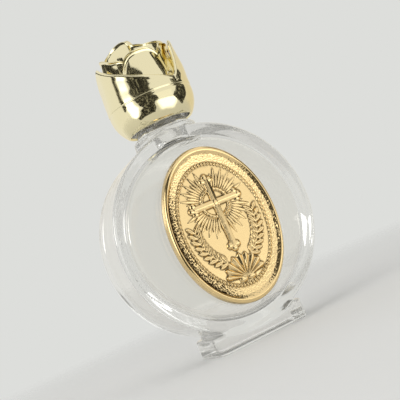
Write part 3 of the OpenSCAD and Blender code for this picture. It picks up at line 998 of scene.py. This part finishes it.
class BOTTLE_OT_plaque(bpy.types.Operator):
    """Makes the oval plaque with its rim, stippled band, beads and relief"""

    bl_idname = "holy_bottle.plaque"
    bl_label = "Relief Plaque"

    def execute(self, context):
        sizes = context.scene.bottle_plaque
        wide, tall = sizes.width / MM / 2, sizes.height / MM / 2
        # Rows lie closer together on the band and the rim
        rings = np.concatenate([np.linspace(0.01, 0.79, 105), np.linspace(0.796, 1.0, 38)])
        angles = np.arange(PLAQUE_STEPS) * 2 * math.pi / PLAQUE_STEPS
        ring = rings[:, None] * np.ones_like(angles)
        height, patina_and_shade = plaque_face(sizes, wide * ring * np.cos(angles), tall * ring * np.sin(angles), ring)
        # Patina in the hollows, plus painted shade on the band's lower left
        recess_and_shade = sunk(height, ring) + patina_and_shade
        # Down the side and across the back, from the rim to the middle
        edge = height[-1]
        back = (
            (0.994, edge - 0.45),
            (1.0, edge - 0.8),
            (1.0, 0 * edge + 0.35),
            (0.985, 0 * edge),
            (0.5, 0 * edge),
        )
        share = np.concatenate([ring] + [np.full((1, PLAQUE_STEPS), r) for r, _ in back])
        front = np.concatenate([height] + [out[None] for _, out in back])
        points = np.stack([wide * share * np.cos(angles), -front, tall * share * np.sin(angles)], -1)
        poles = [[0, -height[0].mean(), 0], [0, 0, 0]]
        flat = np.concatenate([points.reshape(-1, 3), poles]) + [0, PLAQUE_BACK_Y, PLAQUE_Z]
        faces, gold = turned_skin(*share.shape), antique_gold(sizes)
        plaque = make_piece("medallion_cast", gold, "bottle", "antique_gold", "medallion", flat, faces)
        worn = np.zeros(len(flat), np.float32)
        worn[: recess_and_shade.size] = recess_and_shade.ravel()
        plaque.data.attributes.new("recess_and_shade", "FLOAT", "POINT").data.foreach_set("value", worn)
        return {"FINISHED"}


class BOTTLE_OT_adhesive(bpy.types.Operator):
    """Makes the thin adhesive film behind the plaque"""

    bl_idname = "holy_bottle.adhesive"
    bl_label = "Adhesive Film"

    def execute(self, context):
        low, high = node_box("adhesive_pad")
        film = moulded_plastic("Clear acrylic adhesive film", linear("#D6D3C8"), 0.8, 0.02, 0.5)
        wide, tall = (high[0] - low[0]) / 2, (high[2] - low[2]) / 2
        middle = (low[2] + high[2]) / 2
        front, back = low[1] + TOUCH_GAP, high[1] - TOUCH_GAP
        angles = np.arange(240) * 2 * math.pi / 240
        # The cut edge bulges a little where the film is pressed
        profile = [(0.02, front), (0.6, front), (0.99, front), (1.0, low[1] + 0.1)]
        profile += [(1.0, high[1] - 0.1), (0.99, back), (0.6, back), (0.02, back)]
        rows = []
        for r, y in profile:
            x, z = wide * r * np.cos(angles), middle + tall * r * np.sin(angles)
            rows.append(np.stack([x, np.full_like(angles, y), z], -1))
        flat = np.concatenate([*rows, [[0, front, middle], [0, back, middle]]])
        faces = turned_skin(len(rows), len(angles))
        make_piece("adhesive_film", film, "bottle", "adhesive_film", "adhesive_pad", flat, faces)
        return {"FINISHED"}


# The stage

CAMERA_PLACE = (-72.68, -177.35, 20.14)
CAMERA_LOOK = (0.38473, 0.91957, 0.07984)
CAMERA_ROLL = -24.09
CAMERA_LENS = 71.33
# Direction from the object to the camera, in degrees round +Z; the bearings below are measured from it
CAMERA_BEARING = -112.7
# Lamps: name, bearing, elevation, distance and side in metres, watts, and whether the glass shows it
SOFTBOXES = (
    ("Key softbox", -48, 50, 0.5, 0.3, 0.9, False),
    ("Fill softbox", 60, 30, 0.6, 0.35, 0.5, True),
)
LAMP_AIM = 35 * MM
FLOOR_R = 0.32
# Cards bent round the bottle, which only mirrors see: rows of height and bearings of the left and right edge
DARK_R, DARK_FADE = 70, 7
DARK_CARDS = (
    (
        (142, -58, -26), (127, -57, -18), (115, -55, 2), (105, -52, 16), (97, -46, 14), (91, -31, 14),
        (87, -35, 25), (80, -33, 20), (74, -32, 15), (65, -29, 22), (52, -26, 25), (45, -20, 12),
        (36, -31, 12), (25, -34, 12), (15, -52, 10), (1, -50, 6),
    ),
    ((98, -76, -66), (90, -75, -62), (84, -72, -60), (74, -71, -56), (60, -68, -64)),
    (
        (130, 84, 118), (104, 80, 110), (92, 78, 106), (86, 70, 104), (82, 82, 110), (66, 72, 109),
        (56, 64, 106), (50, 61, 104), (43, 66, 100), (24, 88, 94),
    ),
    ((122, -150, -50), (97, -150, -54)),
)
# The bright ones start with their radius and brightness
BRIGHT_FADE = 9
BRIGHT_CARDS = (
    (
        75, 2.6,
        ((99, -63, -38), (84, -63, -36), (66, -62, -34), (50, -60, -28), (34, -62, -34), (16, -56, -44)),
    ),
    (330, 1.02, ((120, 22, 66), (2, 22, 66))),
)
# A white sheet on the floor in front, to the right: rows of radius and edges
SHEET_GLOW, SHEET_FADE, SHEET_H = 1.9, 24, 1
FLOOR_SHEET = ((62, 18, 72), (110, 15, 78), (200, 15, 78), (310, 22, 70))
# A small window that only the glass catches: rows of height and edges
WINDOW_GLOW, WINDOW_FADE, WINDOW_R = 2.0, 3, 300
WINDOW = ((190, -136, -114), (100, -136, -114))
# Light in thick clear glass turns back many times before it leaves
BOUNCES = 40


def studio_world(colours):
    """A pale backdrop for the eye, mirrors and glass, greyer overhead in glass; plain light on the rest."""
    world = bpy.data.worlds.new("Studio")
    world.use_nodes = True
    tree = world.node_tree
    tree.nodes.clear()
    way = add(tree, "ShaderNodeTexCoord").outputs["Generated"]
    height = add(tree, "ShaderNodeSeparateXYZ", {"Vector": way}).outputs["Z"]
    path = add(tree, "ShaderNodeLightPath")
    pale = rgba(colours.backdrop)
    overhead = add(tree, "ShaderNodeMapRange", {"Value": height, "From Min": 0.3, "From Max": 0.85})
    greyer = rgba([0.85 * c for c in colours.backdrop])
    tones = {"Factor": overhead.outputs["Result"], MIX_A: pale, MIX_B: greyer}
    through = add(tree, "ShaderNodeMix", tones, data_type="RGBA").outputs[MIXED]
    # High overhead the room is dark between the lamps, which draws a line along each rolled lip
    roof = add(tree, "ShaderNodeValToRGB", {"Fac": height})
    stops = roof.color_ramp.elements
    stops[0].position, stops[1].position = 0.0, 1.0
    for at, code in ((0.93, "#F6F6F6"), (0.95, "#616161"), (0.985, "#616161"), (0.995, "#E7E7E7")):
        stops.new(at).color = rgba(linear(code))
    stops[0].color, stops[-1].color = rgba(linear("#F6F6F5")), rgba(linear("#E7E7E7"))
    # Warm light from the right rear
    turn = math.radians(CAMERA_BEARING + 150)
    toward = {0: way, 1: (math.cos(turn), math.sin(turn), 0)}
    rear = add(tree, "ShaderNodeVectorMath", toward, operation="DOT_PRODUCT")
    warmth = add(tree, "ShaderNodeMapRange", {"Value": rear.outputs["Value"], "From Min": 0.3})
    tones = {"Factor": warmth.outputs["Result"], MIX_A: roof.outputs["Color"], MIX_B: rgba(linear("#E7DDC4"))}
    room = add(tree, "ShaderNodeMix", tones, data_type="RGBA").outputs[MIXED]
    # A ray bent by glass counts as glossy too, so what the glass shows comes after what the mirrors show
    shown = rgba(linear("#CECECE"))
    for ray, view in (("Glossy", room), ("Transmission", through), ("Camera", pale)):
        tones = {"Factor": path.outputs[f"Is {ray} Ray"], MIX_A: shown, MIX_B: view}
        shown = add(tree, "ShaderNodeMix", tones, data_type="RGBA").outputs[MIXED]
    background = add(tree, "ShaderNodeBackground", {"Color": shown})
    add(tree, "ShaderNodeOutputWorld", {"Surface": background.outputs["Background"]})
    bpy.context.scene.world = world


def fade_out(tree, shader, cover):
    """Lets the light through a surface where its cover is less than 1."""
    clear = add(tree, "ShaderNodeBsdfTransparent")
    layers = {0: cover, 1: clear.outputs["BSDF"], 2: shader.outputs["BSDF"]}
    mixed = add(tree, "ShaderNodeMixShader", layers)
    feed(tree.nodes["Material Output"], "Surface", mixed.outputs["Shader"])


def floor_finish(colours):
    """Matt white card, soft and even, that fades into the backdrop with distance."""
    material, tree, shader, place = new_finish(
        "Matt white card", base_color=rgba(colours.floor), roughness=0.9
    )
    grain(tree, shader, place, 2.5, 0.2, 0.25, 3.0)
    away = add(tree, "ShaderNodeVectorMath", {0: place}, operation="LENGTH")
    reach = {"Value": away.outputs["Value"], "From Min": 0.06, "From Max": 0.3, "To Min": 1.0, "To Max": 0.0}
    cover = add(tree, "ShaderNodeMapRange", reach, interpolation_type="SMOOTHSTEP")
    fade_out(tree, shader, cover.outputs["Result"])
    return material


def card_finish(name, glow):
    """Black felt or white silk that fades out at its frayed edges; the black felt glows in faint specks,
    painted specks of light.
    """
    lit = linear("#FFFFFC" if glow else "#F3EFDA")
    material, tree, shader, place = new_finish(
        name,
        base_color=rgba(linear("#22211B")),
        roughness=1.0,
        emission_color=rgba(lit),
        emission_strength=glow,
    )
    ragged = {"Vector": place, "Scale": per(9), "Detail": 5.0, "Roughness": 0.65}
    fray = add(tree, "ShaderNodeTexNoise", ragged).outputs["Fac"]
    edge = add(tree, "ShaderNodeAttribute", attribute_name="edge", attribute_type="GEOMETRY")
    spread, sharp = (0.4, 1.0) if glow else (1.6, 5.0)
    shift = add(tree, "ShaderNodeMath", {0: fray, 1: spread, 2: -spread / 2}, operation="MULTIPLY_ADD")
    worn = add(tree, "ShaderNodeMath", {0: edge.outputs["Fac"], 1: shift.outputs["Value"]}, operation="ADD")
    crisp = {0: worn.outputs["Value"], 1: sharp}
    cover = add(tree, "ShaderNodeMath", crisp, operation="MULTIPLY", use_clamp=True)
    if not glow:
        # Painted specks of light glow in the black felt and show as glints in its dark reflections
        speck_noise = {"Vector": place, "Scale": per(5), "Detail": 6.0, "Roughness": 0.75}
        specks = add(tree, "ShaderNodeTexNoise", speck_noise).outputs["Fac"]
        speck_glow = {"Value": specks, "From Min": 0.53, "From Max": 0.7, "To Max": 1.0}
        feed(shader, "Emission Strength", add(tree, "ShaderNodeMapRange", speck_glow).outputs["Result"])
    fade_out(tree, shader, cover.outputs["Value"])
    return material


def compass(bearing, elevation=0.0):
    """Direction at a bearing from the camera's and an elevation, in degrees."""
    turn, rise = math.radians(CAMERA_BEARING + bearing), math.radians(elevation)
    return Vector((math.cos(turn) * math.cos(rise), math.sin(turn) * math.cos(rise), math.sin(rise)))


def softbox(name, bearing, elevation, away, side, watts, in_glass):
    """A square lamp that looks at the bottle and that mirrors don't see."""
    lamp = bpy.data.lights.new(name, "AREA")
    lamp.size = side
    lamp.energy = watts
    way = compass(bearing, elevation)
    box = bpy.data.objects.new(name, lamp)
    box.visible_glossy = False
    box.visible_transmission = in_glass
    box.location = way * away + Vector((0, 0, LAMP_AIM))
    box.rotation_euler = way.to_track_quat("Z", "Y").to_euler()
    bpy.context.scene.collection.objects.link(box)


def card(name, rows, glow, fade, seen="glossy"):
    """A card that one kind of ray sees, from rows of radius, height and edges; glow is its brightness."""
    steps = 25
    points, faces, edge = [], [], []
    rows = np.array(rows, float)
    down = np.append(0, np.cumsum(np.hypot(*np.diff(rows[:, :2], axis=0).T)))
    for along in np.linspace(0, down[-1], 4 * len(rows)):
        radius, z, left, right = (np.interp(along, down, column) for column in rows.T)
        for share in np.linspace(0, 1, steps):
            points.append((compass(left + (right - left) * share) * radius + Vector((0, 0, z))) * MM)
            aside = radius * math.radians(right - left) * min(share, 1 - share)
            edge.append(min(aside, along, down[-1] - along) / fade)
    for row in range(4 * len(rows) - 1):
        for k in range(steps - 1):
            a = row * steps + k
            faces.append((a, a + 1, a + steps + 1, a + steps))
    mesh = bpy.data.meshes.new(name)
    mesh.from_pydata(points, [], faces)
    mesh.attributes.new("edge", "FLOAT", "POINT").data.foreach_set("value", edge)
    mesh.materials.append(card_finish(name, glow))
    sheet = bpy.data.objects.new(name, mesh)
    for ray in ("camera", "diffuse", "glossy", "transmission", "shadow", "volume_scatter"):
        setattr(sheet, "visible_" + ray, ray == seen)
    bpy.context.scene.collection.objects.link(sheet)


class BOTTLE_OT_stage(bpy.types.Operator):
    """Makes the floor, the cards, the lamps, the world and the camera"""

    bl_idname = "holy_bottle.stage"
    bl_label = "Stage"

    def execute(self, context):
        scene = context.scene
        colours = scene.bottle_stage
        scene.view_settings.view_transform = "Standard"
        studio_world(colours)
        mesh = bpy.data.meshes.new("Floor")
        corners = [(FLOOR_R * math.cos(a), FLOOR_R * math.sin(a), 0) for a in np.arange(64) * math.pi / 32]
        mesh.from_pydata(corners, [], [tuple(range(64))])
        mesh.materials.append(floor_finish(colours))
        floor = bpy.data.objects.new("Floor", mesh)
        scene.collection.objects.link(floor)
        for rows in DARK_CARDS:
            card("Dark card", [(DARK_R, *row) for row in rows], 0, DARK_FADE)
        for radius, glow, rows in BRIGHT_CARDS:
            card("Bright card", [(radius, *row) for row in rows], glow, BRIGHT_FADE)
        rows = [(radius, SHEET_H, left, right) for radius, left, right in FLOOR_SHEET]
        card("Floor sheet", rows, SHEET_GLOW, SHEET_FADE)
        card("Window", [(WINDOW_R, *row) for row in WINDOW], WINDOW_GLOW, WINDOW_FADE, "transmission")
        for lamp in SOFTBOXES:
            softbox(*lamp)
        camera = bpy.data.objects.new("Camera", bpy.data.cameras.new("Camera"))
        camera.data.lens = CAMERA_LENS
        camera.data.clip_start = 5 * MM
        look = Vector(CAMERA_LOOK).to_track_quat("-Z", "Y").to_matrix()
        turn = look @ Matrix.Rotation(math.radians(CAMERA_ROLL), 3, "Z")
        camera.matrix_world = Matrix.Translation(Vector(CAMERA_PLACE) * MM) @ turn.to_4x4()
        scene.collection.objects.link(camera)
        scene.camera = camera
        for kind in ("max", "glossy", "transmission"):
            setattr(scene.cycles, kind + "_bounces", BOUNCES)
        return {"FINISHED"}


class BOTTLE_PT_panel(bpy.types.Panel):
    """Lists the bottle's pieces and its stage"""

    bl_idname = "BOTTLE_PT_panel"
    bl_label = "Holy Water Bottle"
    bl_space_type = "VIEW_3D"
    bl_region_type = "UI"
    bl_category = "Bottle"

    def draw(self, context):
        for operator in OPERATORS:
            self.layout.operator(operator.bl_idname)
        for name in GROUPS:
            group = getattr(context.scene, name)
            box = self.layout.box()
            for prop in group.__annotations__:
                box.prop(group, prop)


GROUPS = {
    "bottle_glass": GlassSizes,
    "bottle_cap": CapSizes,
    "bottle_plaque": PlaqueSizes,
    "bottle_stage": StageColours,
}
OPERATORS = (
    BOTTLE_OT_glass_body,
    BOTTLE_OT_rose_cap,
    BOTTLE_OT_cap_inside,
    BOTTLE_OT_plaque,
    BOTTLE_OT_adhesive,
    BOTTLE_OT_stage,
)
CLASSES = (*GROUPS.values(), *OPERATORS, BOTTLE_PT_panel)


def register():
    for cls in CLASSES:
        bpy.utils.register_class(cls)
    for name, group in GROUPS.items():
        setattr(bpy.types.Scene, name, PointerProperty(type=group))


def unregister():
    for name in GROUPS:
        delattr(bpy.types.Scene, name)
    for cls in reversed(CLASSES):
        bpy.utils.unregister_class(cls)


def main():
    """Builds every piece and the stage."""
    register()
    for operator in OPERATORS:
        group, name = operator.bl_idname.split(".")
        getattr(getattr(bpy.ops, group), name)()


if __name__ == "__main__":
    main()
